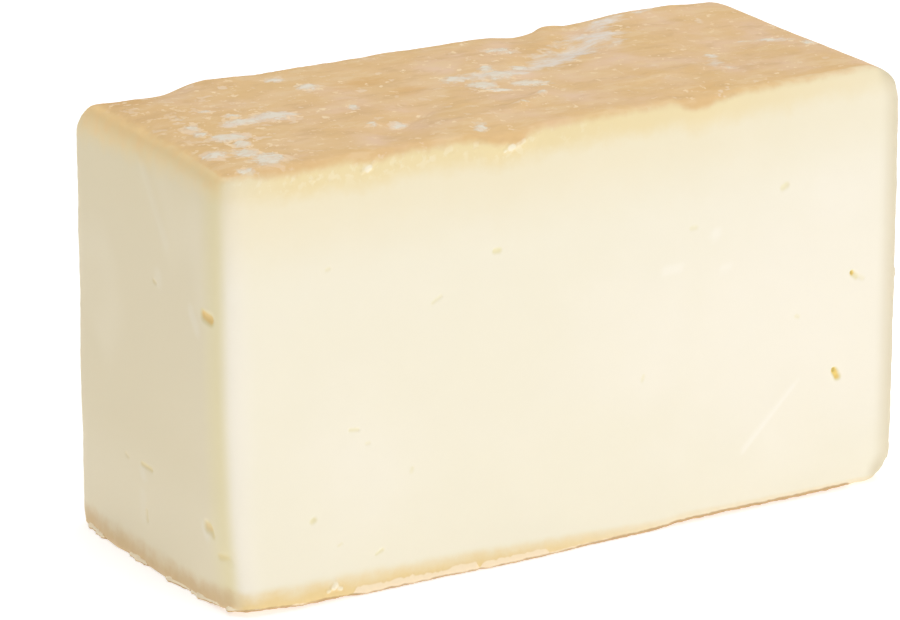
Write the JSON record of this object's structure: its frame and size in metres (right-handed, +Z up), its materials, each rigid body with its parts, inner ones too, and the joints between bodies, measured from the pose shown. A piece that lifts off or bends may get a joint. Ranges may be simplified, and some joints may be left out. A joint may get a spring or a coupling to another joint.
{
  "type": "taleggio cheese block",
  "caption": "Upright rectangular block of soft washed-rind cheese, a corner cut from a square slab, with pale cut faces and tan rind, for serving or display.",
  "frame": {"origin": "on the floor, under the middle of the block's bounding box", "axes": "+X along the length towards the rind end, +Y through the depth towards the rind back, +Z up"},
  "size_m": [0.0958, 0.0398, 0.0553],
  "materials": {
    "cheese": "pale cream cut paste, satin; tan to orange-beige rind with white bloom, dull"
  },
  "bodies": {
    "root": {"cheese_block": "cheese"}
  },
  "joints": []
}
